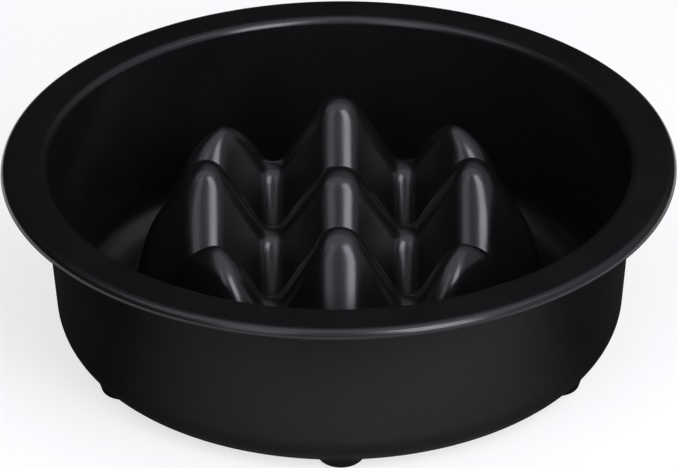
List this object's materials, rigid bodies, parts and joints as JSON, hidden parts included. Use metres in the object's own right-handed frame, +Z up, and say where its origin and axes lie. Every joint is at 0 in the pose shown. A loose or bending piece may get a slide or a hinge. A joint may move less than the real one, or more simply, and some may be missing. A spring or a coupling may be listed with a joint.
{
  "type": "slow feeder pet bowl",
  "caption": "Round black dog bowl with a wide flat rim and a floor that rises as a field of pointed peaks, so that the dog eats slowly.",
  "frame": {"origin": "on the table under the bowl's centre", "axes": "+Z up along the bowl's axis, +X to the right and -Y to the front of the picture; three rows of peaks run along X and three along Y"},
  "size_m": [0.254, 0.254, 0.075],
  "materials": {
    "bowl_plastic": "black injection-moulded plastic with a semi-gloss surface",
    "foot_rubber": "matt black moulded rubber"
  },
  "bodies": {
    "root": {"bowl": "bowl_plastic", "foot_front": "foot_rubber", "foot_front_right": "foot_rubber", "foot_back_right": "foot_rubber", "foot_back": "foot_rubber", "foot_back_left": "foot_rubber", "foot_front_left": "foot_rubber"}
  },
  "joints": []
}
